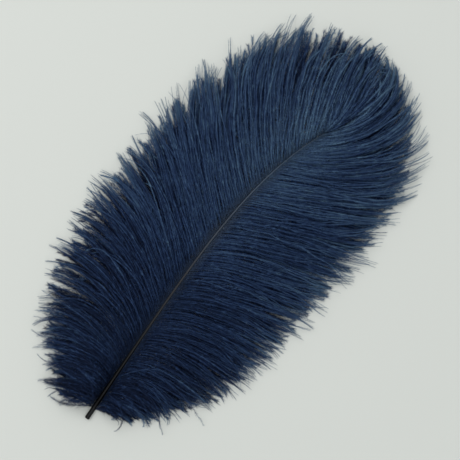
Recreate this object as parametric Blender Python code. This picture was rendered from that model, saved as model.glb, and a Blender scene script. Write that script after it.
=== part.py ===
"""Ostrich feather, dyed navy, lying on its underside.

The feather grew as one piece, so it is one solid: a tapering shaft with a
blunt cut quill, and on each side a vane of barb locks that leave the shaft,
sweep round and droop until their tips lie on the surface.

Metres, +Z up. +X runs from the quill to the tip and +Y to the left vane.
The origin is on the small flat under the quill, on the surface it lies on.
"""
import math
import random

import bmesh
import bpy
import numpy as np
from mathutils import Vector

CUT_END = -0.010
SHAFT_REACH = 0.335
QUILL_RADIUS = 0.0021
FINE_RADIUS = 0.0004
TAPER_POWER = 1.3
REST_FLAT = 0.0003

SWAY = 0.030
HOOK = 0.043
HOOK_POWER = 4.6
ARCH = 0.019
ARCH_START = 0.10
ARCH_SPAN = 1.25

LOCKS_A_SIDE = 30
FIRST_ROOT = 0.035
LOCK_HALF_WIDTH = 0.0076
LOCK_FLATNESS = 0.20
LOCK_TIP_SHARE = 0.16
LOCK_POINTS = 8
VANE_LIFT = 0.013
LAYER_STEP = 0.0022
LENGTH_SPREAD = 0.06
ANGLE_SPREAD = 3.0
SEED = 5

# Along the shaft from cut end (0) to fine end (1): the angle in degrees at
# which barbs leave, how far they bow outwards half way, the angle at their
# tips, and their length.
LEFT_VANE = (
    (0.00, 84, 6, 112, 0.038),
    (0.06, 72, 12, 114, 0.056),
    (0.14, 54, 16, 108, 0.091),
    (0.26, 44, 6, 92, 0.120),
    (0.40, 46, 0, 73, 0.126),
    (0.54, 52, 0, 50, 0.133),
    (0.68, 54, 0, 34, 0.135),
    (0.80, 47, -2, 25, 0.132),
    (0.90, 28, -5, 22, 0.105),
    (1.00, 6, -1, 20, 0.067),
)
RIGHT_VANE = (
    (0.00, 34, 14, 84, 0.034),
    (0.06, 36, 20, 86, 0.052),
    (0.14, 38, 26, 80, 0.080),
    (0.26, 38, 22, 70, 0.106),
    (0.40, 42, 16, 66, 0.119),
    (0.54, 49, 13, 61, 0.128),
    (0.68, 57, 10, 49, 0.130),
    (0.80, 62, 6, 27, 0.129),
    (0.90, 56, -5, 1, 0.105),
    (1.00, 30, -20, -24, 0.066),
)
TIP_LOCK = (2, 0, -4, 0.066)

LEFT, RIGHT = 1, -1


def clear_scene():
    for old in list(bpy.data.objects):
        bpy.data.objects.remove(old, do_unlink=True)


def new_collection(name):
    collection = bpy.data.collections.new(name)
    bpy.context.scene.collection.children.link(collection)
    return collection


def feather_material():
    """Navy dyed barbs, matt, with a faint sheen from their fine hairs."""
    material = bpy.data.materials.new("navy_barbs")
    material.use_nodes = True
    shader = material.node_tree.nodes["Principled BSDF"]
    shader.inputs["Base Color"].default_value = (0.012, 0.024, 0.070, 1.0)
    shader.inputs["Roughness"].default_value = 0.75
    shader.inputs["Metallic"].default_value = 0.0
    return material


def shaft_centre(q):
    """Centre line: it bows left, hooks right at the end, and arches off the surface."""
    origin_q = -CUT_END / SHAFT_REACH
    x = CUT_END + SHAFT_REACH * q
    y = SWAY * (q - origin_q) - HOOK * q ** HOOK_POWER
    r = min(max((q - ARCH_START) / ARCH_SPAN, 0.0), 1.0)
    z = QUILL_RADIUS - REST_FLAT + ARCH * math.sin(math.pi * r) ** 1.5
    return Vector((x, y, z))


def shaft_radius(q):
    return FINE_RADIUS + (QUILL_RADIUS - FINE_RADIUS) * (1.0 - q) ** TAPER_POWER


def tube(name, points, radii, bevel_resolution, section=None):
    """A curve with filled caps, one radius to each point, made into a closed mesh."""
    curve = bpy.data.curves.new(name, "CURVE")
    curve.dimensions = "3D"
    curve.twist_mode = "Z_UP"
    curve.use_fill_caps = True
    if section is None:
        curve.bevel_depth = 1.0
        curve.bevel_resolution = bevel_resolution
    else:
        curve.bevel_mode = "OBJECT"
        curve.bevel_object = section
    spline = curve.splines.new("POLY")
    spline.points.add(len(points) - 1)
    for place, point, radius in zip(spline.points, points, radii):
        place.co = (*point, 1.0)
        place.radius = radius
    guide = bpy.data.objects.new(name, curve)
    bpy.context.scene.collection.objects.link(guide)
    return as_mesh(guide)


def as_mesh(guide):
    """The evaluated curve as a mesh object in the same place, its caps welded on."""
    bpy.context.view_layer.update()
    evaluated = guide.evaluated_get(bpy.context.evaluated_depsgraph_get())
    mesh = bpy.data.meshes.new_from_object(evaluated)
    shape = bmesh.new()
    shape.from_mesh(mesh)
    bmesh.ops.remove_doubles(shape, verts=shape.verts, dist=0.00002)
    bmesh.ops.recalc_face_normals(shape, faces=shape.faces)
    shape.to_mesh(mesh)
    shape.free()
    solid = bpy.data.objects.new(guide.name, mesh)
    solid.matrix_world = guide.matrix_world
    name = guide.name
    bpy.data.objects.remove(guide, do_unlink=True)
    solid.name = name
    return solid


def lock_section(guides):
    """The flat six-sided section of a lock, one unit in half width."""
    curve = bpy.data.curves.new("lock_section", "CURVE")
    curve.dimensions = "2D"
    spline = curve.splines.new("POLY")
    spline.use_cyclic_u = True
    corners = ((1.0, 0.0), (0.45, 1.0), (-0.45, 1.0), (-1.0, 0.0), (-0.45, -1.0), (0.45, -1.0))
    spline.points.add(len(corners) - 1)
    for place, (across, up) in zip(spline.points, corners):
        place.co = (across, up * LOCK_FLATNESS, 0.0, 1.0)
    section = bpy.data.objects.new("lock_section", curve)
    section.hide_render = True
    section.display_type = "WIRE"
    guides.objects.link(section)
    return section


def make_shaft():
    shares = np.linspace(0.0, 1.0, 26)
    points = [shaft_centre(q) for q in shares]
    radii = [shaft_radius(q) for q in shares]
    return tube("feather", points, radii, 2)


def vane_values(rows, q):
    """The leaving angle, the bow, the tip angle and the length of a lock rooted at q."""
    table = np.array(rows)
    return [float(np.interp(q, table[:, 0], table[:, column])) for column in (1, 2, 3, 4)]


def make_lock(name, side, q, start, bow, end, length, layer, section):
    """A flat lock whose angle turns from start to end, by way of a bow, as it droops to the surface."""
    root = shaft_centre(q)
    shares = np.linspace(0.0, 1.0, LOCK_POINTS)
    middles = (shares[1:] + shares[:-1]) / 2
    angles = np.radians(start + (end - start) * middles + bow * 4.0 * middles * (1.0 - middles))
    step = length / (LOCK_POINTS - 1)
    x = root.x + np.concatenate(([0.0], np.cumsum(np.cos(angles)) * step))
    y = root.y + side * np.concatenate(([0.0], np.cumsum(np.sin(angles)) * step))
    hump = (VANE_LIFT + layer) * np.sin(math.pi * shares ** 0.8)
    z = root.z * (1.0 - shares) + hump
    full = (0.6 + 0.4 * np.sin(math.pi * shares)) * np.sqrt(1.0 - shares ** 4)
    half_widths = LOCK_HALF_WIDTH * np.maximum(full, LOCK_TIP_SHARE)
    points = [Vector(place) for place in zip(x, y, z)]
    return tube(name, points, half_widths, 0, section)


def make_locks(section, tools):
    """Both vanes' locks, from the quill to the tip, lying over each other in three layers."""
    roots = np.linspace(FIRST_ROOT, 1.0, LOCKS_A_SIDE)
    chance = random.Random(SEED)
    for side, rows, word in ((LEFT, LEFT_VANE, "left"), (RIGHT, RIGHT_VANE, "right")):
        for number, q in enumerate(roots):
            start, bow, end, length = vane_values(rows, q)
            length *= 1.0 - chance.uniform(0.0, LENGTH_SPREAD)
            end += chance.uniform(-ANGLE_SPREAD, ANGLE_SPREAD)
            layer = LAYER_STEP * (number * 2 % 3 - 1)
            name = f"{word}_lock_{number}"
            lock = make_lock(name, side, q, start, bow, end, length, layer, section)
            tools.objects.link(lock)
    lock = make_lock("tip_lock", LEFT, 1.0, *TIP_LOCK, 0.0, section)
    tools.objects.link(lock)
    for lock in tools.objects:
        lock.hide_render = True
        lock.display_type = "WIRE"


def make_surface_cutter(cutters):
    """A block under the surface, which leaves the quill and the lock tips flat where they rest."""
    depth = 0.05
    bpy.ops.mesh.primitive_cube_add(size=1.0, location=(0.19, 0.0, -depth / 2))
    block = bpy.context.object
    block.name = "surface_cutter"
    block.scale = (0.6, 0.5, depth)
    bpy.ops.object.transform_apply(location=False, rotation=False, scale=True)
    for collection in list(block.users_collection):
        collection.objects.unlink(block)
    cutters.objects.link(block)
    block.hide_render = True
    block.display_type = "WIRE"
    return block


def main():
    clear_scene()
    feather_parts = new_collection("ostrich_feather")
    locks = new_collection("locks")
    guides = new_collection("guides")

    feather = make_shaft()
    feather_parts.objects.link(feather)
    feather.data.materials.append(feather_material())
    make_locks(lock_section(guides), locks)

    grow = feather.modifiers.new("locks", "BOOLEAN")
    grow.operation = "UNION"
    grow.solver = "EXACT"
    grow.operand_type = "COLLECTION"
    grow.collection = locks

    rest = feather.modifiers.new("rest_flat", "BOOLEAN")
    rest.operation = "DIFFERENCE"
    rest.solver = "EXACT"
    rest.object = make_surface_cutter(guides)


main()
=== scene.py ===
"""Dresses the ostrich feather: a dark tapering shaft and two vanes of loose navy barbs.

Run as a script, it builds the feather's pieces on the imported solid, then a pale
floor, soft lights and a camera that looks straight down. Registered as an
add-on, it lists the same steps in the 3D view's sidebar.
Lengths are metres in the solid's frame: +X to the tip, +Y to the left vane, +Z up.
"""
import math
from typing import NamedTuple

import bpy
import numpy as np
from bpy.props import FloatProperty, FloatVectorProperty, IntProperty, PointerProperty
from bpy.types import Operator, Panel, PropertyGroup
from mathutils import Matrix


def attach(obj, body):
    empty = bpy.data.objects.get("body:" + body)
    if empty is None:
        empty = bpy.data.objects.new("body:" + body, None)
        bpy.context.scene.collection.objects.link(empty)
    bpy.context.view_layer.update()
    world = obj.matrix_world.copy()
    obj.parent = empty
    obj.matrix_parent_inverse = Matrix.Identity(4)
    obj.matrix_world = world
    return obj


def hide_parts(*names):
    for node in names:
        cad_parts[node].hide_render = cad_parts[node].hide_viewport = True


bl_info = {
    "name": "Ostrich feather",
    "version": (1, 0, 0),
    "blender": (4, 5, 0),
    "location": "3D View > Sidebar > Feather",
    "description": "Builds an ostrich plume from its shaft, barbs and barbules",
    "category": "Add Mesh",
}

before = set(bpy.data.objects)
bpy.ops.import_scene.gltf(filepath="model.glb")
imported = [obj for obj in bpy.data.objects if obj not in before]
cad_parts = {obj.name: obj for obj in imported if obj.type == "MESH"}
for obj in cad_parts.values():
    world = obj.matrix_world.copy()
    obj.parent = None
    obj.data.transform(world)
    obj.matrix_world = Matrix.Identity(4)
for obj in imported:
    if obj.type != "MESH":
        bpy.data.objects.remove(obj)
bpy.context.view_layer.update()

NODE = "feather"
BODY = "root"
BAKE_MAP = "OFBake"
TONE = "tone"
LEFT, RIGHT = 1, -1

# Along the shaft from cut end (0) to fine end (1): the angle in degrees at
# which barbs leave, how far they bow outwards half way, the angle at their
# tips, how far loose ends curl on from there, and the barbs' length.
LEFT_VANE = (
    (0.00, 84, 6, 112, 20, 0.038),
    (0.06, 72, 12, 114, 24, 0.056),
    (0.14, 54, 16, 108, 26, 0.091),
    (0.26, 44, 6, 92, 26, 0.121),
    (0.40, 46, 0, 73, 22, 0.128),
    (0.54, 52, 0, 50, 4, 0.135),
    (0.68, 54, 0, 34, -24, 0.136),
    (0.80, 47, -2, 25, -30, 0.133),
    (0.90, 28, -5, 22, -20, 0.105),
    (1.00, 6, -1, 20, -14, 0.067),
)
RIGHT_VANE = (
    (0.00, 34, 14, 84, 0, 0.034),
    (0.06, 36, 20, 86, 6, 0.052),
    (0.14, 38, 26, 80, 16, 0.080),
    (0.26, 38, 22, 70, 22, 0.106),
    (0.40, 42, 16, 66, 16, 0.118),
    (0.54, 49, 13, 61, 6, 0.126),
    (0.68, 57, 10, 49, -8, 0.130),
    (0.80, 63, 8, 20, -18, 0.129),
    (0.90, 60, -2, -12, -20, 0.107),
    (1.00, 36, -18, -34, -14, 0.066),
)

# The barbs at the shaft's fine end fan out from right (-1) to left (+1).
FAN_BARBS = 90
FAN_FROM = 0.93
FAN_ANGLE = 26.0
FAN_TURN = 8.0
FAN_LENGTH = 0.066
FAN_LAYER = {"mean_tone": 0.54, "taper": 0.8, "width": 1.05, "inner_fill": 0.7, "fill": 0.9}

# Where the painted highlight along the shaft's top lies, as a share of the way round the shaft.
PAINTED_HIGHLIGHT_AT = 0.26

# Each vane is made in pieces, from the quill to the tip.
BANDS = (("quill", 0.0, 0.22), ("lower", 0.22, 0.42), ("middle", 0.42, 0.60), ("upper", 0.60, 0.78),
         ("tip", 0.78, 1.01))

# Points worked out along every barb.
STATIONS = 41

# The power that softens the shaft's rise from the surface.
ARCH_POWER = 1.5

# The shaft's surface: rings, which lie closer near the cut end by a power, points
# round each, and the shares of the reach over which the cut's rim is rounded and
# the fine end closes, down to a share of the radius.
SHAFT_RINGS = 260
RING_POWER = 1.15
SHAFT_SIDES = 28
RIM_OVER = 0.0006
END_OVER = 0.002
END_RADIUS = 0.02

# The groove under the shaft: its depth as a share of the radius, its width in
# radians, and the shares of the reach at which it starts and over which it deepens.
GROOVE_DEPTH = 0.30
GROOVE_WIDTH = 0.40
GROOVE_FROM = 0.07
GROOVE_OVER = 0.05

# Clumps in a lock: at least the first number and fewer than the second. Lock and
# clump add these shares of a layer's spread by chance.
CLUMPS_A_LOCK = (2, 6)
LOCK_SHARE = 0.5
CLUMP_SHARE = 0.85

# What a leader and a barb add to each angle by chance: a share of the layer's
# spread, or of its curl, and how many times that again in the down.
LEADER_SCATTER = {"start": (0.35, 3.0), "bow": (0.6, 2.0), "end": (1.0, 3.0), "curl": (1.0, 1.5)}
BARB_SCATTER = {"start": (0.3, 5.0), "bow": (0.4, 0.0), "end": (0.6, 4.0), "curl": (0.6, 0.0)}

# Chance in the hump and the tone of a clump, and in the tone of a barb.
HUMP_SPREAD = 0.06
CLUMP_TONE = 0.06
BARB_TONE = 0.16

# Where along the shaft barbs differ least in tone, the share of the difference
# that is left there, and how fast it grows with the square of the distance.
EVEN_TONE_AT = 0.55
EVEN_TONE = 0.60
UNEVEN_TONE = 2.6

# A barb's line: waves in its length, the power by which a curl comes late, the
# power that moves its height's peak towards the shaft, and where it is seated
# across the shaft's radius, which falls towards the fine end.
WAVES = 1.3
CURL_POWER = 5
HUMP_POWER = 0.8
SEAT = 0.95
SEAT_FALL = 0.45

# Shares of a barb at which it starts to draw to its leader, and over which it
# does, and how much less the loosest down does so.
GATHER_FROM = 0.28
GATHER_OVER = 0.66
DOWN_APART = 0.7

# How far a root lies from its even place, in spaces between roots. Then each
# barb's length and height as shares of its leader's, how much higher its tip may
# lie, its waver and where that starts beside its leader's, and its ripples.
ROOT_CHANCE = (-0.45, 0.45)
LENGTH_CHANCE = (0.96, 1.02)
HUMP_CHANCE = (0.85, 1.15)
LIFT_CHANCE = (0.0, 0.001)
WAVE_SPREAD = 0.5
PHASE_SPREAD = 0.08
RIPPLES = (3.0, 6.0)

# How much of its own tone a barb shows at its root, and how much more at its tip.
TONE_AT_ROOT = 0.30
TONE_GROWTH = 1.20

# The least height of shaft and barbs above the surface, in metres.
SHAFT_LOW = 0.0001
BARB_LOW = 0.0003

# The stems of the barbs: rings, which lie closer near the tip by a power, points
# round each, and how much slimmer the tip is than the root.
STEM_RINGS = 12
STEM_POWER = 0.9
STEM_SIDES = 3
STEM_TAPER = 0.75

# The share of a barb at which barbules begin, and the share that they take. They
# are short at the root, are full grown at one share of the barb, and fade from
# another on. Each has its own chance length.
BARBULES_FROM = 0.008
BARBULES_OVER = 0.990
ROOT_REACH = 0.30
GROWN_BY = 0.16
FADE_FROM = 0.68
FADE_OVER = 0.32
FADE_POWER = 1.4
REACH_CHANCE = (0.50, 1.15)

# The angle in degrees between barbule and barb, its fall along the barb and
# where barbules fade, and its chance; how far barbules hang, in radians.
SWEEP = 42.0
SWEEP_FALL = 10.0
SWEEP_FADE = 8.0
SWEEP_CHANCE = (0.65, 1.35)
HANG = 0.45
HANG_SPREAD = 0.35

# How much narrower barbules are at a barb's tip, the spread of their tone, and
# the share of a barb up to which fewer are kept, with how gently that ends.
NARROWER = 0.40
BARBULE_TONE = 0.07
INNER_TO = 0.62
INNER_OVER = 0.3

# Where a barb's pieces lie across its own row of the map.
MAP_STEM = 0.06
MAP_FOOT = 0.05
MAP_TIP = 0.42

# The middle of the feather, which the lights face.
MIDDLE = (0.19, 0.0, 0.0)

# Each light's name, place, size, power and colour.
LIGHTS = (
    ("key_light", (0.30, 1.10, 1.70), 1.4, 17.5, (1.0, 0.99, 0.97)),
    ("fill_light", (-0.30, -1.20, 1.60), 1.8, 5.0, (0.96, 0.98, 1.0)),
)
ROOM_COLOUR = (0.97, 1.0, 0.98, 1.0)
ROOM_LIGHT = 0.67
FLOOR_HALF = 4.0


class BarbLayer(NamedTuple):
    """How one layer of a vane's barbs lies.

    Pairs are least and most. Hump, length and fluff are shares of the vane's own
    height, length and barbule length. Spread and curl are degrees. The fills are
    the shares of barbules kept near the shaft and towards the tips.
    """
    count: int
    clump: tuple
    tightness: tuple
    hump: tuple
    length: tuple
    spread: float
    follow_curl: float
    curl: float
    tip_lift: float
    tone: float
    fluff: tuple
    taper: float
    width: float
    inner_fill: float
    fill: float
    last: float = 1.0


# A layer is spread over the vane up to the share that "last" gives. The right
# vane ends in a dense fringe. On the left the clumps are larger, gather to
# firmer points and curl more, and more strands lie over them. The under layer,
# dark as painted shade beneath the others, fills the gaps, and down lies loose
# over the barbs at the quill.
DOWN = BarbLayer(count=34, clump=(1, 3), tightness=(0.00, 0.40), hump=(0.70, 1.50), length=(0.50, 1.14),
                 spread=14.0, follow_curl=0.6, curl=20.0, tip_lift=0.006, tone=0.68,
                 fluff=(0.80, 1.50), taper=0.45, width=0.80, inner_fill=0.50, fill=0.80, last=0.15)
RIGHT_LAYERS = (
    BarbLayer(count=455, clump=(2, 6), tightness=(0.20, 0.80), hump=(0.85, 1.15), length=(0.88, 1.06),
              spread=3.4, follow_curl=0.8, curl=12.0, tip_lift=0.004, tone=0.57,
              fluff=(0.50, 0.90), taper=0.80, width=1.08, inner_fill=0.46, fill=0.85),
    # The under layer's low tone is painted shade: it lies beneath the top layer.
    BarbLayer(count=400, clump=(1, 3), tightness=(0.00, 0.15), hump=(0.20, 0.60), length=(0.84, 0.96),
              spread=2.4, follow_curl=0.4, curl=8.0, tip_lift=0.001, tone=0.18,
              fluff=(1.10, 1.45), taper=0.25, width=1.95, inner_fill=0.12, fill=0.55),
    BarbLayer(count=90, clump=(1, 4), tightness=(0.20, 0.60), hump=(1.00, 1.45), length=(0.62, 1.01),
              spread=9.0, follow_curl=1.8, curl=36.0, tip_lift=0.007, tone=0.61,
              fluff=(0.35, 0.65), taper=0.90, width=1.10, inner_fill=0.45, fill=0.80),
    DOWN,
)
LEFT_LAYERS = (
    RIGHT_LAYERS[0]._replace(clump=(3, 8), tightness=(0.35, 0.95), length=(0.82, 1.04), curl=18.0,
                             follow_curl=1.0),
    RIGHT_LAYERS[1]._replace(length=(0.82, 0.94)),
    RIGHT_LAYERS[2]._replace(count=132, curl=42.0, follow_curl=2.4, length=(0.54, 0.98), tone=0.64),
    DOWN._replace(count=70, spread=12.0, length=(0.50, 1.02), last=0.14),
)


class ShaftSizes(PropertyGroup):
    """The shaft's line and thickness, as in the solid that it stands for."""
    cut_end: FloatProperty(
        name="Cut end", description="Where the quill is cut, along X", default=-0.010, unit="LENGTH")
    reach: FloatProperty(
        name="Reach", description="Length along X from cut end to fine end", default=0.335, unit="LENGTH")
    quill_radius: FloatProperty(
        name="Quill radius", description="Radius at the cut end", default=0.0021, unit="LENGTH")
    fine_radius: FloatProperty(
        name="Fine radius", description="Radius at the fine end", default=0.0003, unit="LENGTH")
    taper_power: FloatProperty(
        name="Taper", description="How early the shaft thins", default=1.3)
    rest_flat: FloatProperty(
        name="Rest flat", description="How far the quill's underside is flat", default=0.0003, unit="LENGTH")
    sway: FloatProperty(
        name="Sway", description="How far the shaft leans left over its reach", default=0.030, unit="LENGTH")
    hook: FloatProperty(
        name="Hook", description="How far its end hooks back to the right", default=0.043, unit="LENGTH")
    hook_power: FloatProperty(
        name="Hook power", description="How late the hook begins", default=4.6)
    arch: FloatProperty(
        name="Arch", description="How high the shaft arches off the surface", default=0.019, unit="LENGTH")
    arch_start: FloatProperty(
        name="Arch start", description="Share of the reach at which it leaves the surface", default=0.10)
    arch_span: FloatProperty(
        name="Arch span", description="Shares of the reach that a whole arch would take", default=1.25)
    pith_depth: FloatProperty(
        name="Hollow", description="Depth of the hollow in the cut end", default=0.005, unit="LENGTH")


class BarbSizes(PropertyGroup):
    """Barbs, and the fine barbules that make each one a soft strip."""
    first_root: FloatProperty(
        name="First barb", description="Share of the shaft at which barbs begin", default=0.030)
    down_reach: FloatProperty(
        name="Down", description="Share of the shaft past the first barb that carries loose down",
        default=0.13)
    down_length: FloatProperty(
        name="Down length", description="How much shorter the shortest of the down is", default=0.45)
    notch: FloatProperty(
        name="Notch", description="How much shorter the shortest locks are", default=0.05)
    hump: FloatProperty(
        name="Hump", description="Rise of a barb between shaft and surface", default=0.0135, unit="LENGTH")
    ramus_radius: FloatProperty(
        name="Barb radius", description="Radius of a barb where it leaves the shaft", default=0.00022,
        unit="LENGTH")
    barbule_reach: FloatProperty(
        name="Barbule length", description="Longest barbule", default=0.0042, unit="LENGTH")
    barbule_width: FloatProperty(
        name="Barbule width", description="Width of a barbule's foot", default=0.00055, unit="LENGTH")
    barbules_a_metre: FloatProperty(
        name="Barbules a metre", description="Barbules on one side of a metre of barb", default=3700.0)
    wave: FloatProperty(
        name="Wave", description="How far a barb's direction wavers at its tip", default=math.radians(5.0),
        subtype="ANGLE")
    ripple: FloatProperty(
        name="Ripple", description="How far a barb's direction ripples all along", default=math.radians(6.0),
        subtype="ANGLE")
    mottle: FloatProperty(
        name="Mottle", description="How much a barb's tone changes from place to place", default=0.16)
    # Painted shade: a barbule's end is drawn darker than its foot, so that the gaps between barbs read dark.
    painted_barbule_shade: FloatProperty(
        name="Barbule shade", description="How much darker a barbule's end is than its foot", default=0.46)
    # A painted highlight: each barb's stem is drawn paler than its barbules.
    painted_stem_highlight: FloatProperty(
        name="Barb crest", description="How much paler a barb's stem is than its barbules", default=0.22)
    seed: IntProperty(name="Seed", description="Start of the random draws", default=11)


class Colours(PropertyGroup):
    """Dye and horn colours, in linear light."""
    deep: FloatVectorProperty(
        name="Deep navy", description="Barbs in the darkest locks", subtype="COLOR", size=3,
        default=(0.0040, 0.0068, 0.0200))
    navy: FloatVectorProperty(
        name="Navy", description="Most barbs", subtype="COLOR", size=3, default=(0.0125, 0.0265, 0.0770))
    # Steel blue is reached both by paler barbs towards the tip and by the painted highlight on the barbs'
    # stems.
    steel: FloatVectorProperty(
        name="Steel blue", description="Barbs on the crests and towards the tip", subtype="COLOR", size=3,
        default=(0.0320, 0.0620, 0.1320))
    sky: FloatVectorProperty(
        name="Pale blue", description="The palest barbs' ends", subtype="COLOR", size=3,
        default=(0.0800, 0.1450, 0.2300))
    root: FloatVectorProperty(
        name="Grey root", description="Barbs where they leave the shaft, half way", subtype="COLOR", size=3,
        default=(0.0400, 0.0540, 0.0800))
    horn_dark: FloatVectorProperty(
        name="Dark horn", description="Shaft at the quill", subtype="COLOR", size=3,
        default=(0.0022, 0.0021, 0.0024))
    horn_pale: FloatVectorProperty(
        name="Pale horn", description="Shaft half way", subtype="COLOR", size=3,
        default=(0.0310, 0.0320, 0.0390))
    horn_far: FloatVectorProperty(
        name="Far horn", description="Shaft towards the tip", subtype="COLOR", size=3,
        default=(0.0850, 0.1250, 0.1900))
    # A painted highlight along the top of the shaft.
    painted_ridge_highlight: FloatVectorProperty(
        name="Ridge", description="Rubbed line along the top of the shaft", subtype="COLOR", size=3,
        default=(0.0400, 0.0425, 0.0490))
    floor: FloatVectorProperty(
        name="Floor", description="Plain surface under the feather", subtype="COLOR", size=3,
        default=(0.640, 0.657, 0.635))


class StageSizes(PropertyGroup):
    """Camera and light places. Pixels are those of a picture 460 wide and high."""
    frame_px: FloatProperty(name="Frame", description="Picture width in pixels", default=460.0)
    metre_px: FloatProperty(
        name="Pixels a metre", description="Pixels to a metre at the surface", default=1181.0)
    quill_px_x: FloatProperty(name="Quill x", description="Pixel column of the cut end", default=87.0)
    quill_px_y: FloatProperty(name="Quill y", description="Pixel row of the cut end", default=418.0)
    shaft_turn: FloatProperty(
        name="Turn", description="Angle of the feather's X axis in the picture", default=math.radians(50.74),
        subtype="ANGLE")
    camera_height: FloatProperty(
        name="Camera height", description="Height of the camera above the surface", default=1.10,
        unit="LENGTH")


class FeatherSettings(PropertyGroup):
    """Everything that a user would change."""
    shaft: PointerProperty(type=ShaftSizes)
    barbs: PointerProperty(type=BarbSizes)
    colours: PointerProperty(type=Colours)
    stage: PointerProperty(type=StageSizes)


def settings():
    """The sizes and colours that the scene holds."""
    return bpy.context.scene.ostrich_feather


def new_material(name):
    """A material with a node tree, and its Principled shader."""
    material = bpy.data.materials.new(name)
    material.use_nodes = True
    return material, material.node_tree, material.node_tree.nodes["Principled BSDF"]


def add_node(tree, kind, **values):
    """A shader node with its settings and its unlinked inputs given by name."""
    node = tree.nodes.new(kind)
    for key, value in values.items():
        if hasattr(node, key):
            setattr(node, key, value)
        else:
            node.inputs[key].default_value = value
    return node


def set_ramp(node, stops):
    """Colour stops as (place, colour) on a Color Ramp node."""
    ramp = node.color_ramp
    while len(ramp.elements) < len(stops):
        ramp.elements.new(0.5)
    for element, (place, colour) in zip(ramp.elements, stops):
        element.position = place
        element.color = (*colour, 1.0)


def mix_colours(tree, factor, first, second):
    """Second over first by a factor socket; either colour may be a socket or three numbers."""
    node = tree.nodes.new("ShaderNodeMix")
    node.data_type = "RGBA"
    tree.links.new(factor, node.inputs["Factor"])
    for place, colour in (("A", first), ("B", second)):
        socket = next(s for s in node.inputs if s.name == place and s.type == "RGBA")
        if isinstance(colour, bpy.types.NodeSocket):
            tree.links.new(colour, socket)
        else:
            socket.default_value = (*colour, 1.0)
    return next(s for s in node.outputs if s.type == "RGBA")


def map_range(tree, value, low, high, to_low, to_high):
    """A value socket moved from one range to another, held at its ends."""
    node = add_node(tree, "ShaderNodeMapRange")
    tree.links.new(value, node.inputs["Value"])
    for key, number in (("From Min", low), ("From Max", high), ("To Min", to_low), ("To Max", to_high)):
        node.inputs[key].default_value = number
    return node.outputs["Result"]


def barb_material():
    """Navy dye: the tone of each lock and barb, with a fine speckle.

    It is paler towards the barbs' tips, most of all at their ends, and towards
    the plume's end, where the barbs' roots near the shaft are also lightened by
    painted light that lifts the shade there. It is darker towards the
    quill. Roots are greyed, most of all half way along the shaft. The tone that
    it reads also carries painted shade and highlights from the barbs.
    """
    colours = settings().colours
    material, tree, shader = new_material("navy_barbs")
    link = tree.links.new
    place = add_node(tree, "ShaderNodeTexCoord")
    speckle = add_node(tree, "ShaderNodeTexNoise", Scale=420.0, Detail=3.0, Roughness=0.65)
    link(place.outputs["Object"], speckle.inputs["Vector"])
    along = add_node(tree, "ShaderNodeUVMap", uv_map=BAKE_MAP)
    share = add_node(tree, "ShaderNodeSeparateXYZ")
    link(along.outputs["UV"], share.inputs["Vector"])
    spot = add_node(tree, "ShaderNodeSeparateXYZ")
    link(place.outputs["Object"], spot.inputs["Vector"])

    # Painted light: barb roots towards the plume's end are lightened to lift the shade beside the shaft.
    painted_root_light = add_node(tree, "ShaderNodeMath", operation="MULTIPLY")
    link(map_range(tree, share.outputs["X"], 0.05, 0.45, 0.20, 0.0), painted_root_light.inputs[0])
    link(map_range(tree, spot.outputs["X"], 0.15, 0.29, 0.0, 1.6), painted_root_light.inputs[1])
    tone = add_node(tree, "ShaderNodeAttribute", attribute_name=TONE)
    total = tone.outputs["Fac"]
    along_barb, along_shaft = share.outputs["X"], spot.outputs["X"]
    for change in (map_range(tree, speckle.outputs["Fac"], 0.3, 0.7, -0.10, 0.10),
                   map_range(tree, along_barb, 0.50, 1.0, 0.0, 0.22),
                   map_range(tree, along_barb, 0.82, 1.0, 0.0, 0.60),
                   map_range(tree, along_shaft, 0.13, 0.30, 0.0, 0.22),
                   map_range(tree, along_shaft, 0.00, 0.17, -0.34, 0.0),
                   painted_root_light.outputs["Value"]):
        add = add_node(tree, "ShaderNodeMath", operation="ADD")
        link(total, add.inputs[0])
        link(change, add.inputs[1])
        total = add.outputs["Value"]
    ramp = add_node(tree, "ShaderNodeValToRGB")
    set_ramp(ramp, ((0.0, colours.deep), (0.33, colours.navy), (0.62, colours.steel), (1.0, colours.sky)))
    link(map_range(tree, total, 0.10, 1.30, 0.0, 1.0), ramp.inputs["Fac"])
    greyed = add_node(tree, "ShaderNodeMath", operation="MULTIPLY")
    link(map_range(tree, share.outputs["X"], 0.01, 0.08, 0.80, 0.0), greyed.inputs[0])
    near = add_node(tree, "ShaderNodeValToRGB")
    set_ramp(near, ((0.03, (0.0,) * 3), (0.10, (0.4,) * 3), (0.19, (1.0,) * 3), (0.28, (0.3,) * 3)))
    link(spot.outputs["X"], near.inputs["Fac"])
    link(near.outputs["Color"], greyed.inputs[1])
    link(mix_colours(tree, greyed.outputs["Value"], ramp.outputs["Color"], colours.root),
         shader.inputs["Base Color"])

    shader.inputs["Roughness"].default_value = 0.60
    shader.inputs["Specular IOR Level"].default_value = 0.10
    shader.inputs["Specular Tint"].default_value = (0.45, 0.62, 1.0, 1.0)
    shader.inputs["Sheen Weight"].default_value = 0.04
    shader.inputs["Sheen Roughness"].default_value = 0.45
    shader.inputs["Sheen Tint"].default_value = (0.45, 0.60, 0.90, 1.0)
    return material


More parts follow.
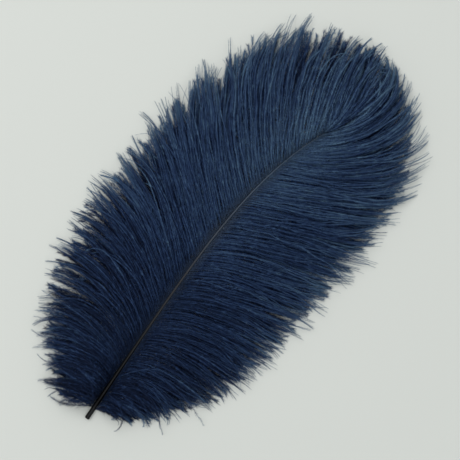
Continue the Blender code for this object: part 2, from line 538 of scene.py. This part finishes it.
def horn_material():
    """Dyed horn: black at the quill, brown half way, blue grey at the tip, with a painted highlight along
    the top.
    """
    colours = settings().colours
    material, tree, shader = new_material("dyed_horn")
    link = tree.links.new
    along = add_node(tree, "ShaderNodeUVMap", uv_map=BAKE_MAP)
    share = add_node(tree, "ShaderNodeSeparateXYZ")
    link(along.outputs["UV"], share.inputs["Vector"])
    stretch = add_node(tree, "ShaderNodeMapping")
    stretch.inputs["Scale"].default_value = (9.0, 14.0, 1.0)
    link(along.outputs["UV"], stretch.inputs["Vector"])
    streaks = add_node(tree, "ShaderNodeTexNoise", Scale=3.0, Detail=5.0, Roughness=0.6)
    link(stretch.outputs["Vector"], streaks.inputs["Vector"])

    length = add_node(tree, "ShaderNodeValToRGB")
    set_ramp(length, ((0.24, colours.horn_dark), (0.50, colours.horn_pale), (0.90, colours.horn_far)))
    link(share.outputs["X"], length.inputs["Fac"])
    from_painted_highlight = add_node(tree, "ShaderNodeMath", operation="SUBTRACT")
    link(share.outputs["Y"], from_painted_highlight.inputs[0])
    from_painted_highlight.inputs[1].default_value = PAINTED_HIGHLIGHT_AT
    beside = add_node(tree, "ShaderNodeMath", operation="ABSOLUTE")
    link(from_painted_highlight.outputs["Value"], beside.inputs[0])
    # A narrow painted highlight along the shaft's top, mixed over the horn.
    painted_ridge_highlight = map_range(tree, beside.outputs["Value"], 0.01, 0.035, 0.45, 0.0)
    horn = mix_colours(tree, painted_ridge_highlight, length.outputs["Color"], colours.painted_ridge_highlight)
    patch = map_range(tree, streaks.outputs["Fac"], 0.45, 0.75, 0.0, 0.35)
    link(mix_colours(tree, patch, horn, colours.horn_dark), shader.inputs["Base Color"])
    link(map_range(tree, streaks.outputs["Fac"], 0.3, 0.7, 0.28, 0.40), shader.inputs["Roughness"])
    bump = add_node(tree, "ShaderNodeBump", Strength=0.25, Distance=0.0002)
    link(streaks.outputs["Fac"], bump.inputs["Height"])
    link(bump.outputs["Normal"], shader.inputs["Normal"])
    shader.inputs["Specular IOR Level"].default_value = 0.14
    return material


def floor_material():
    """Matt pale board with the faintest unevenness."""
    colours = settings().colours
    material, tree, shader = new_material("pale_floor")
    place = add_node(tree, "ShaderNodeTexCoord")
    cloud = add_node(tree, "ShaderNodeTexNoise", Scale=3.0, Detail=2.0)
    tree.links.new(place.outputs["Object"], cloud.inputs["Vector"])
    soft = map_range(tree, cloud.outputs["Fac"], 0.3, 0.7, 0.0, 1.0)
    darker = tuple(0.985 * part for part in colours.floor)
    tree.links.new(mix_colours(tree, soft, colours.floor, darker), shader.inputs["Base Color"])
    shader.inputs["Roughness"].default_value = 0.9
    return material


def shaft_centre(q):
    """Middle line at shares q of the reach, as an array of points.

    X is straight, Y leans left evenly and hooks back by a high power of q, and
    Z is the quill's height plus a half sine wave that starts past the quill.
    """
    shaft = settings().shaft
    q = np.asarray(q, dtype=float)
    x = shaft.cut_end + shaft.reach * q
    origin_q = -shaft.cut_end / shaft.reach
    y = shaft.sway * (q - origin_q) - shaft.hook * np.maximum(q, 0.0) ** shaft.hook_power
    r = np.clip((q - shaft.arch_start) / shaft.arch_span, 0.0, 1.0)
    z = shaft.quill_radius - shaft.rest_flat + shaft.arch * np.sin(np.pi * r) ** ARCH_POWER
    return np.stack((x, y, z), axis=-1)


def shaft_radius(q):
    """The quill's radius falls to the fine end's by a power of the share left."""
    shaft = settings().shaft
    left = np.clip(1.0 - np.asarray(q, dtype=float), 0.0, 1.0)
    return shaft.fine_radius + (shaft.quill_radius - shaft.fine_radius) * left ** shaft.taper_power


def unit(vectors):
    """Vectors divided by their own lengths."""
    return vectors / np.linalg.norm(vectors, axis=-1, keepdims=True)


def mesh_object(name, points, triangles, uv, tone, material):
    """A smooth triangle mesh with the bake map and the tone of each corner's vertex."""
    mesh = bpy.data.meshes.new(name)
    count = len(triangles)
    mesh.vertices.add(len(points))
    mesh.vertices.foreach_set("co", points.astype(np.float32).ravel())
    mesh.loops.add(count * 3)
    mesh.loops.foreach_set("vertex_index", triangles.astype(np.int32).ravel())
    mesh.polygons.add(count)
    mesh.polygons.foreach_set("loop_start", np.arange(count, dtype=np.int32) * 3)
    mesh.polygons.foreach_set("use_smooth", np.ones(count, dtype=bool))
    layer = mesh.uv_layers.new(name=BAKE_MAP)
    layer.uv.foreach_set("vector", uv.astype(np.float32).ravel())
    mesh.update(calc_edges=True)
    values = mesh.attributes.new(TONE, "FLOAT", "POINT")
    values.data.foreach_set("value", tone.astype(np.float32).ravel())
    mesh.materials.append(material)
    piece = bpy.data.objects.new(name, mesh)
    bpy.context.scene.collection.objects.link(piece)
    return piece


def dress(piece):
    """The piece takes the solid's place and moves with its body."""
    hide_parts(NODE)
    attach(piece, BODY)


def grid_triangles(rows, columns, closed):
    """Two triangles for each cell of a grid of points; a closed grid joins its last column to its first."""
    across = columns if closed else columns - 1
    row, column = np.meshgrid(np.arange(rows - 1), np.arange(across), indexing="ij")
    following = (column + 1) % columns
    a, b = row * columns + column, row * columns + following
    c, d = (row + 1) * columns + following, (row + 1) * columns + column
    return np.stack((np.stack((a, b, c), -1), np.stack((a, c, d), -1)), axis=2).reshape(-1, 3)


def make_shaft():
    """The shaft's surface: rings carried along the middle line.

    Each ring is a circle, its underside drawn in by a bell-shaped groove. The
    first rings run out of the hollow quill and over the rim of the cut: each has
    its share of the way out and its share of the radius.
    """
    shaft = settings().shaft
    sides = SHAFT_SIDES
    hollow = np.array(((0.0, 0.02), (0.0, 0.45), (0.15, 0.60), (0.9, 0.72), (1.0, 0.78), (1.0, 0.92)))
    body_q = np.linspace(0.0, 1.0, SHAFT_RINGS) ** RING_POWER
    inner_q = (1.0 - hollow[:, 0]) * shaft.pith_depth / shaft.reach
    ring_q = np.concatenate((inner_q, body_q + RIM_OVER))
    scale = np.concatenate((hollow[:, 1], np.ones(len(body_q))))
    ring_q = np.concatenate((ring_q, [ring_q[-1] + END_OVER]))
    scale = np.concatenate((scale, [END_RADIUS]))

    centre = shaft_centre(ring_q)
    ahead = unit(shaft_centre(ring_q + 0.001) - shaft_centre(ring_q - 0.001))
    aside = unit(np.cross(np.array((0.0, 0.0, 1.0)), ahead))
    above = np.cross(ahead, aside)
    turn = np.linspace(0.0, 2 * np.pi, sides, endpoint=False)
    below = np.abs(np.angle(np.exp(1j * (turn + np.pi / 2))))
    groove_depth = GROOVE_DEPTH * np.clip((ring_q - GROOVE_FROM) / GROOVE_OVER, 0.0, 1.0)
    groove = 1.0 - groove_depth[:, None] * np.exp(-(below[None] / GROOVE_WIDTH) ** 2)
    radius = (shaft_radius(ring_q) * scale)[:, None] * groove
    points = (centre[:, None]
              + aside[:, None] * (radius * np.cos(turn))[..., None]
              + above[:, None] * (radius * np.sin(turn))[..., None])
    points[..., 2] = np.maximum(points[..., 2], SHAFT_LOW)

    rows = len(ring_q)
    triangles = grid_triangles(rows, sides, True)
    share = np.arange(rows) / (rows - 1)
    cell_row, cell_column = np.meshgrid(np.arange(rows - 1), np.arange(sides), indexing="ij")
    u0, u1 = share[cell_row], share[cell_row + 1]
    v0, v1 = cell_column / sides, (cell_column + 1) / sides
    corners = np.stack((u0, v0, u0, v1, u1, v1, u0, v0, u1, v1, u1, v0), axis=-1)
    tone = np.full(rows * sides, 0.5)
    piece = mesh_object("shaft", points.reshape(-1, 3), triangles, corners.reshape(-1, 2), tone,
                        horn_material())
    dress(piece)


def vane_values(rows, q):
    """Leaving angle, bow, tip angle, curl and length at shares q, with the rows' corners smoothed out."""
    table = np.array(rows)
    near = (-0.04, -0.02, 0.0, 0.02, 0.04)
    start, bow, end, curl, length = [
        np.mean([np.interp(q + step, table[:, 0], table[:, column]) for step in near], axis=0)
        for column in (1, 2, 3, 4, 5)]
    return {"start": np.radians(start), "bow": np.radians(bow), "end": np.radians(end),
            "curl": np.radians(curl), "length": length}


def spread_roots(side, rows, even):
    """Shares of the shaft for barbs at even shares of a vane.

    They are spaced by two lengths, one third the way along the shaft and two
    thirds the way along the outline of the barbs' tips, so that it is filled too.
    """
    q = np.linspace(settings().barbs.first_root, 1.0, 120)
    none = np.zeros(len(q))
    plan = {"q": q, "side": none + side, **vane_values(rows, q)}
    plan.update({key: none for key in ("wave", "phase", "ripple", "cycles", "tip_lift", "hump")})
    tips = free_curves(plan)[:, -1, :2]
    way = np.concatenate(([0.0], np.cumsum(np.linalg.norm(np.diff(tips, axis=0), axis=1))))
    along = (q - q[0]) / (q[-1] - q[0])
    return np.interp(even, (2 * way / way[-1] + along) / 3, q)


def looseness(q):
    """One at the first barbs, falling evenly to nothing where the down ends."""
    barbs = settings().barbs
    return np.clip(1.0 - (q - barbs.first_root) / barbs.down_reach, 0.0, 1.0)


def scattered(scatter, key, layer, draw, loose):
    """The chance change of one angle: a draw over its share of the layer's spread, wider in the down."""
    share, more = scatter[key]
    spread = math.radians(layer.curl if key == "curl" else layer.spread)
    return draw(spread * share) * (1.0 + more * loose)


def plan_leaders(layer, rows, q, clump, rng):
    """The line that each clump gathers to, rooted at the middle of its barbs.

    Runs of clumps form locks. Lock and clump each add a chance share to angle,
    height and tone, more of it in the loose down. A clump's length lies nearer
    the most than the least, and is cut by its lock's notch and in the down.
    """
    barbs = settings().barbs
    clumps = clump[-1] + 1
    lock = np.searchsorted(np.cumsum(rng.integers(*CLUMPS_A_LOCK, clumps)), np.arange(clumps), side="right")
    locks = lock[-1] + 1

    middle_q = np.bincount(clump, q) / np.bincount(clump)
    middle = vane_values(rows, middle_q)
    loose = looseness(middle_q)

    def chance(spread):
        """Clump values that share part of their spread with the whole lock."""
        of_lock = rng.normal(0.0, LOCK_SHARE * spread, locks)[lock]
        return of_lock + rng.normal(0.0, CLUMP_SHARE * spread, clumps)

    def angle(key):
        return scattered(LEADER_SCATTER, key, layer, chance, loose)

    shorter = 1.0 - barbs.down_length * loose * rng.uniform(0.0, 1.0, clumps)
    shorter = shorter * (1.0 - barbs.notch * rng.uniform(0.0, 1.0, locks)[lock])
    least, most = layer.length
    return {
        "q": middle_q,
        "start": middle["start"] + angle("start"),
        "bow": middle["bow"] + angle("bow"),
        "end": middle["end"] + angle("end"),
        "curl": middle["curl"] * layer.follow_curl + angle("curl"),
        "length": middle["length"] * (most - (most - least) * rng.uniform(0.0, 1.0, clumps) ** 2) * shorter,
        "hump": barbs.hump * np.clip(np.mean(layer.hump) + chance(HUMP_SPREAD), *layer.hump),
        "tip_lift": layer.tip_lift * rng.uniform(0.0, 1.0, clumps),
        "wave": barbs.wave * rng.normal(0.0, 1.0, clumps),
        "phase": rng.uniform(0.0, 1.0, clumps),
        "tone": chance(CLUMP_TONE),
        "ripple": np.zeros(clumps),
        "cycles": np.ones(clumps),
        "tight": rng.uniform(*layer.tightness, clumps),
    }


def plan_layer(layer, side, rows, rng):
    """Chooses a layer's barbs and, for each, the leader of the clump that it gathers to.

    Runs of barbs form clumps. A barb takes its angles from its own root and its
    length, height, curl and wave from its leader, each with a chance share of its
    own. Tones differ most at both ends of the vane, and down gathers least.
    """
    barbs = settings().barbs
    n = layer.count
    even = layer.last * (np.arange(n) + 0.5 + rng.uniform(*ROOT_CHANCE, n)) / n
    q = spread_roots(side, rows, even)
    clump = np.searchsorted(np.cumsum(rng.integers(*layer.clump, n)), np.arange(n), side="right")
    leaders = plan_leaders(layer, rows, q, clump, rng)
    lead = {key: value[clump] for key, value in leaders.items()}
    at_root = vane_values(rows, q)
    loose = looseness(q)
    uneven = EVEN_TONE + UNEVEN_TONE * (q - EVEN_TONE_AT) ** 2

    def chance(spread):
        return rng.normal(0.0, spread, n)

    def angle(key):
        return scattered(BARB_SCATTER, key, layer, chance, loose)

    own = {
        "q": q,
        "start": at_root["start"] + angle("start"),
        "bow": at_root["bow"] + angle("bow"),
        "end": at_root["end"] + angle("end"),
        "curl": lead["curl"] + angle("curl"),
        "length": lead["length"] * rng.uniform(*LENGTH_CHANCE, n),
        "hump": lead["hump"] * rng.uniform(*HUMP_CHANCE, n),
        "tip_lift": lead["tip_lift"] + rng.uniform(*LIFT_CHANCE, n),
        "wave": lead["wave"] + barbs.wave * chance(WAVE_SPREAD),
        "phase": lead["phase"] + chance(PHASE_SPREAD),
        "ripple": barbs.ripple * chance(1.0),
        "cycles": rng.uniform(*RIPPLES, n),
        "mean_tone": np.full(n, layer.tone),
        "tone": (lead["tone"] + chance(BARB_TONE)) * uneven,
        "fluff": rng.uniform(*layer.fluff, n),
    }
    own.update({key: np.full(n, getattr(layer, key)) for key in ("taper", "width", "inner_fill", "fill")})
    own["lead_share"] = lead.pop("tight") * (1.0 - DOWN_APART * loose)
    own["side"] = np.full(n, float(side))
    return {**own, **{"lead_" + key: value for key, value in lead.items()}}


def free_curves(plan, prefix=""):
    """Points along barbs, or along their leaders, at even shares t of their length.

    Seen from above a barb's direction turns evenly from its leaving angle to
    its tip angle. A bow of 4 t (1 - t) adds to that, and so do a curl that grows
    as a high power of t, a sine wave that grows as t and an even ripple.
    The place is the running sum of the direction. The height falls evenly from
    the shaft to the surface under a sine hump.
    """
    def part(key):
        return plan[prefix + key][:, None]

    t = np.linspace(0.0, 1.0, STATIONS)[None]
    heading = part("start") + (part("end") - part("start")) * t + part("bow") * 4.0 * t * (1.0 - t)
    waver = part("wave") * t * np.sin(2 * np.pi * (WAVES * t + part("phase")))
    heading = heading + part("curl") * t ** CURL_POWER + waver
    heading = heading + part("ripple") * np.sin(2 * np.pi * (part("cycles") * t + part("phase")))
    middle = (heading[:, 1:] + heading[:, :-1]) / 2
    stride = part("length") / (STATIONS - 1)
    none = np.zeros((len(heading), 1))
    ahead = np.concatenate((none, np.cumsum(np.cos(middle), axis=1)), axis=1) * stride
    aside = np.concatenate((none, np.cumsum(np.sin(middle), axis=1)), axis=1) * stride

    q = plan[prefix + "q"]
    root = shaft_centre(q)
    radius = shaft_radius(q)[:, None]
    seat = SEAT - SEAT_FALL * q[:, None]
    x = root[:, 0:1] + ahead
    y = root[:, 1:2] + plan["side"][:, None] * (seat * radius + aside)
    z = (root[:, 2:3] + np.sqrt(1.0 - seat ** 2) * radius) * (1.0 - t) + part("tip_lift") * t ** 2
    z = z + part("hump") * np.sin(np.pi * t ** HUMP_POWER)
    return np.stack((x, y, z), axis=-1)


def barb_curves(plan):
    """Barbs drawn from their own curve to their leader's by a smooth rise from the root."""
    t = np.linspace(0.0, 1.0, STATIONS)[None]
    rise = np.clip((t - GATHER_FROM) / GATHER_OVER, 0.0, 1.0)
    pull = (plan["lead_share"][:, None] * rise * rise * (3.0 - 2.0 * rise))[..., None]
    return free_curves(plan) * (1.0 - pull) + free_curves(plan, "lead_") * pull


def follow(values, t):
    """Values held at even stations along each barb, read between them at shares t."""
    place = np.clip(t, 0.0, 1.0) * (STATIONS - 1)
    low = np.minimum(place.astype(int), STATIONS - 2)
    share = (place - low)[..., None]
    before = np.take_along_axis(values, low[..., None], axis=1)
    after = np.take_along_axis(values, low[..., None] + 1, axis=1)
    return before * (1.0 - share) + after * share


def barb_frame(curves, t):
    """Points on the barbs at shares t, with the directions ahead, to the left and upwards there."""
    ahead = unit(follow(np.gradient(curves, axis=1), t))
    aside = unit(np.cross(np.array((0.0, 0.0, 1.0)), ahead))
    return follow(curves, t), ahead, aside, np.cross(ahead, aside)


def barb_tone(plan, t):
    """Each barb's tone at shares t: its own share of light and dark grows from shaft to tip."""
    return plan["mean_tone"][:, None] + plan["tone"][:, None] * (TONE_AT_ROOT + TONE_GROWTH * t)


def ramus_surface(plan, curves):
    """Each barb's stem: a three-sided tube that tapers to its tip, closed at both ends.

    Returns points, triangles, map corners and tone, with the barbs' rows of the map stacked in V.
    """
    barbs = settings().barbs
    n, rings, sides = len(plan["q"]), STEM_RINGS, STEM_SIDES
    t = np.broadcast_to(np.linspace(0.0, 1.0, rings) ** STEM_POWER, (n, rings))
    centre, ahead, aside, above = barb_frame(curves, t)
    radius = barbs.ramus_radius * (1.0 - STEM_TAPER * t)
    turn = np.pi / 2 + np.arange(sides) * 2 * np.pi / sides
    offset = (aside[:, :, None] * np.cos(turn)[:, None] + above[:, :, None] * np.sin(turn)[:, None])
    points = centre[:, :, None] + offset * radius[:, :, None, None]

    walls = grid_triangles(rings, sides, True)
    caps = np.array(((0, 2, 1), (0, 1, 2))) + np.array(((0,), ((rings - 1) * sides,)))
    pattern = np.concatenate((walls, caps))
    triangles = (pattern[None] + (np.arange(n) * rings * sides)[:, None, None]).reshape(-1, 3)

    row = (np.arange(n) + 0.5) / n
    level = np.array((0.0, MAP_STEM, -MAP_STEM))[None, None] / n
    u = np.broadcast_to(t[:, :, None], (n, rings, sides))
    v = np.broadcast_to(row[:, None, None] + level, (n, rings, sides))
    corners = np.stack((u, v), axis=-1).reshape(-1, 2)[triangles]
    # Stems take a painted highlight on top of their barb's tone.
    tone = np.repeat(barb_tone(plan, t) + barbs.painted_stem_highlight, sides, axis=1)
    return points.reshape(-1, 3), triangles, corners, tone.reshape(-1)


def barbule_row(plan, curves, hand, count, mottle, rng):
    """One row of barbules on every barb: points, map corners and tone, three of each to a barbule.

    A barbule leaves the barb forwards, more sharply towards the tip, and hangs
    a little below the level. Its length rises from the root and falls to the
    tip, so that the barb ends in a point. Some are left out by chance, most of
    them in the half next to the shaft, where barbs lie thick on each other.
    """
    barbs = settings().barbs
    n = len(plan["q"])
    t = (np.arange(count) + rng.uniform(0.0, 1.0, (n, count))) / count
    t = BARBULES_FROM + BARBULES_OVER * t
    foot, ahead, aside, above = barb_frame(curves, t)
    grow = np.clip(t / GROWN_BY, 0.0, 1.0)
    late = np.clip((t - FADE_FROM) / FADE_OVER, 0.0, 1.0)
    fade = 1.0 - plan["taper"][:, None] * late ** FADE_POWER
    reach = barbs.barbule_reach * (ROOT_REACH + (1.0 - ROOT_REACH) * grow) * fade
    reach = reach * plan["fluff"][:, None] * rng.uniform(*REACH_CHANCE, (n, count))
    sweep = np.radians(SWEEP - SWEEP_FALL * t - SWEEP_FADE * late) * rng.uniform(*SWEEP_CHANCE, (n, count))
    hang = rng.normal(HANG, HANG_SPREAD, (n, count))
    out = hand * aside * np.cos(hang)[..., None] - above * np.sin(hang)[..., None]
    tip = foot + reach[..., None] * (ahead * np.cos(sweep)[..., None] + out * np.sin(sweep)[..., None])
    width = barbs.barbule_width * (1.0 - NARROWER * t) * plan["width"][:, None]
    half = ahead * width[..., None] / 2
    back, front = foot - half, foot + half

    length = plan["length"][:, None]
    u_half = width / 2 / length
    u_back, u_front = t - u_half, t + u_half
    u_tip = np.minimum(t + reach * np.cos(sweep) / length, 1.0)
    row = ((np.arange(n) + 0.5) / n)[:, None]
    v_foot = np.broadcast_to(row + hand * MAP_FOOT / n, t.shape)
    v_tip = np.broadcast_to(row + hand * MAP_TIP / n, t.shape)
    points = np.stack((back, front, tip) if hand == LEFT else (front, back, tip), axis=2)
    us = (u_back, u_front, u_tip) if hand == LEFT else (u_front, u_back, u_tip)
    corners = np.stack((np.stack(us, axis=-1), np.stack((v_foot, v_foot, v_tip), axis=-1)), axis=-1)

    tone = barb_tone(plan, t) + rng.normal(0.0, BARBULE_TONE, (n, count))
    tone = tone + barbs.mottle * follow(mottle, t)[..., 0]
    # Each barbule's end is darkened by painted shade, so that the gaps between barbs read dark.
    tone = tone[..., None] - np.array((0.0, 0.0, barbs.painted_barbule_shade))
    inner = np.clip((INNER_TO - t) / INNER_OVER, 0.0, 1.0)
    fill = plan["fill"][:, None] * (1.0 - inner) + plan["inner_fill"][:, None] * inner
    kept = rng.uniform(0.0, 1.0, (n, count)) < fill
    return points[kept].reshape(-1, 3), corners[kept].reshape(-1, 2), tone[kept].reshape(-1)


def barbule_surface(plan, curves, rng):
    """Both rows of barbules: one slim triangle each, with points, triangles, map corners and tone."""
    count = int(settings().barbs.barbules_a_metre * float(np.mean(plan["length"])))
    mottle = rng.normal(0.0, 1.0, (len(plan["q"]), STATIONS, 1))
    rows = [barbule_row(plan, curves, hand, count, mottle, rng) for hand in (LEFT, RIGHT)]
    points, corners, tone = [np.concatenate(parts) for parts in zip(*rows)]
    triangles = np.arange(len(points)).reshape(-1, 3)
    return points, triangles, corners.reshape(-1, 3, 2), tone


def make_barbs(name, plan, rng, material):
    """One piece of a vane: the stems of its barbs and all their barbules."""
    curves = barb_curves(plan)
    stems = ramus_surface(plan, curves)
    hairs = barbule_surface(plan, curves, rng)
    points = np.concatenate((stems[0], hairs[0]))
    points[:, 2] = np.maximum(points[:, 2], BARB_LOW)
    triangles = np.concatenate((stems[1], hairs[1] + len(stems[0])))
    corners = np.concatenate((stems[2], hairs[2])).reshape(-1, 2)
    tone = np.concatenate((stems[3], hairs[3]))
    piece = mesh_object(name, points, triangles, corners, tone, material)
    dress(piece)


def make_vane(side, rows, kinds, word, material, rng):
    """A vane's layers of barbs, shared out into pieces by where they leave the shaft."""
    layers = [plan_layer(layer, side, rows, rng) for layer in kinds]
    plan = {key: np.concatenate([layer[key] for layer in layers]) for key in layers[0]}
    for band, low, high in BANDS:
        chosen = (plan["q"] >= low) & (plan["q"] < high)
        part = {key: value[chosen] for key, value in plan.items()}
        make_barbs(f"{word}_barbs_{band}", part, rng, material)


def make_tip_fan(material, rng):
    """The barbs round the shaft's fine end, spread evenly from right to left and turning to the left."""
    barbs = settings().barbs
    n = FAN_BARBS
    spot = np.linspace(-1.0, 1.0, n) + rng.normal(0.0, 0.08, n)
    lean, turn = math.radians(FAN_ANGLE) * spot, math.radians(FAN_TURN)
    own = {
        "q": rng.uniform(FAN_FROM, 1.0, n),
        "start": lean,
        "bow": rng.normal(0.0, 0.06, n),
        "end": lean * 0.3 + turn + rng.normal(0.0, 0.09, n),
        "curl": rng.normal(-0.2, 0.5, n),
        "length": FAN_LENGTH * rng.uniform(0.50, 1.10, n),
        "hump": barbs.hump * rng.uniform(0.6, 1.5, n),
        "tip_lift": rng.uniform(0.0, 0.003, n),
        "wave": barbs.wave * rng.normal(0.0, 1.0, n),
        "phase": rng.uniform(0.0, 1.0, n),
        "ripple": barbs.ripple * rng.normal(0.0, 1.0, n),
        "cycles": rng.uniform(2.0, 4.0, n),
        "tone": rng.normal(0.0, 0.2, n),
        "fluff": rng.uniform(0.6, 1.05, n),
    }
    own.update({key: np.full(n, value) for key, value in FAN_LAYER.items()})
    plan = {**own, **{"lead_" + key: value for key, value in own.items()}}
    plan["lead_share"] = np.zeros(n)
    plan["side"] = np.full(n, float(LEFT))
    make_barbs("tip_barbs", plan, rng, material)


def camera_place():
    """Where the camera stands, and its turn about the vertical.

    The picture's middle is found from the cut end's pixel and the feather's angle.
    """
    stage, shaft = settings().stage, settings().shaft
    middle = stage.frame_px / 2
    right = (middle - stage.quill_px_x) / stage.metre_px
    up = (stage.quill_px_y - middle) / stage.metre_px
    c, s = math.cos(stage.shaft_turn), math.sin(stage.shaft_turn)
    quill = shaft_centre(0.0)
    x = quill[0] + right * c + up * s
    y = quill[1] - right * s + up * c
    return (x, y, stage.camera_height), -stage.shaft_turn


def make_camera():
    """A level camera above the feather, whose lens gives the stated pixels to a metre at the surface."""
    stage = settings().stage
    place, turn = camera_place()
    data = bpy.data.cameras.new("camera")
    data.sensor_width = 36.0
    data.lens = data.sensor_width * stage.camera_height * stage.metre_px / stage.frame_px
    data.clip_start = 0.05
    camera = bpy.data.objects.new("camera", data)
    camera.location = place
    camera.rotation_euler = (0.0, 0.0, turn)
    bpy.context.scene.collection.objects.link(camera)
    bpy.context.scene.camera = camera


def make_floor():
    """One wide square on the surface that the feather lies on."""
    half = FLOOR_HALF
    mesh = bpy.data.meshes.new("floor")
    mesh.from_pydata([(-half, -half, 0.0), (half, -half, 0.0), (half, half, 0.0), (-half, half, 0.0)], [],
                     [(0, 1, 2, 3)])
    mesh.materials.append(floor_material())
    floor = bpy.data.objects.new("floor", mesh)
    bpy.context.scene.collection.objects.link(floor)


def make_light(name, place, size, power, colour):
    """A square area light that faces the feather's middle."""
    data = bpy.data.lights.new(name, "AREA")
    data.size = size
    data.energy = power
    data.color = colour
    lamp = bpy.data.objects.new(name, data)
    lamp.location = place
    away = unit(np.array(place) - np.array(MIDDLE))
    tilt = math.acos(away[2])
    lamp.rotation_euler = (tilt, 0.0, math.atan2(away[0], -away[1]))
    bpy.context.scene.collection.objects.link(lamp)


def make_world():
    """An even soft light from all round."""
    world = bpy.data.worlds.new("soft_room")
    world.use_nodes = True
    background = world.node_tree.nodes["Background"]
    background.inputs["Color"].default_value = ROOM_COLOUR
    background.inputs["Strength"].default_value = ROOM_LIGHT
    bpy.context.scene.world = world


class FEATHER_OT_shaft(Operator):
    """Build the shaft with its hollow cut quill"""
    bl_idname = "feather.shaft"
    bl_label = "Shaft"

    def execute(self, context):
        make_shaft()
        return {"FINISHED"}


class FEATHER_OT_vanes(Operator):
    """Build both vanes, barb by barb, with the barbules on every barb"""
    bl_idname = "feather.vanes"
    bl_label = "Vanes"

    def execute(self, context):
        rng = np.random.default_rng(settings().barbs.seed)
        material = barb_material()
        make_vane(LEFT, LEFT_VANE, LEFT_LAYERS, "left", material, rng)
        make_vane(RIGHT, RIGHT_VANE, RIGHT_LAYERS, "right", material, rng)
        make_tip_fan(material, rng)
        return {"FINISHED"}


class FEATHER_OT_stage(Operator):
    """Lay the pale floor and set the lights and the camera"""
    bl_idname = "feather.stage"
    bl_label = "Stage"

    def execute(self, context):
        make_camera()
        make_floor()
        for light in LIGHTS:
            make_light(*light)
        make_world()
        context.scene.view_settings.view_transform = "Standard"
        return {"FINISHED"}


class FEATHER_PT_panel(Panel):
    """The feather's steps, in the order in which they are built"""
    bl_idname = "FEATHER_PT_panel"
    bl_label = "Ostrich feather"
    bl_space_type = "VIEW_3D"
    bl_region_type = "UI"
    bl_category = "Feather"

    def draw(self, context):
        for step in STEPS:
            self.layout.operator(f"feather.{step}")


STEPS = ("shaft", "vanes", "stage")
CLASSES = (ShaftSizes, BarbSizes, Colours, StageSizes, FeatherSettings, FEATHER_OT_shaft, FEATHER_OT_vanes,
           FEATHER_OT_stage, FEATHER_PT_panel)


def register():
    for each in CLASSES:
        bpy.utils.register_class(each)
    bpy.types.Scene.ostrich_feather = PointerProperty(type=FeatherSettings)


def unregister():
    del bpy.types.Scene.ostrich_feather
    for each in reversed(CLASSES):
        bpy.utils.unregister_class(each)


def main():
    register()
    for step in STEPS:
        getattr(bpy.ops.feather, step)()


if __name__ == "__main__":
    main()
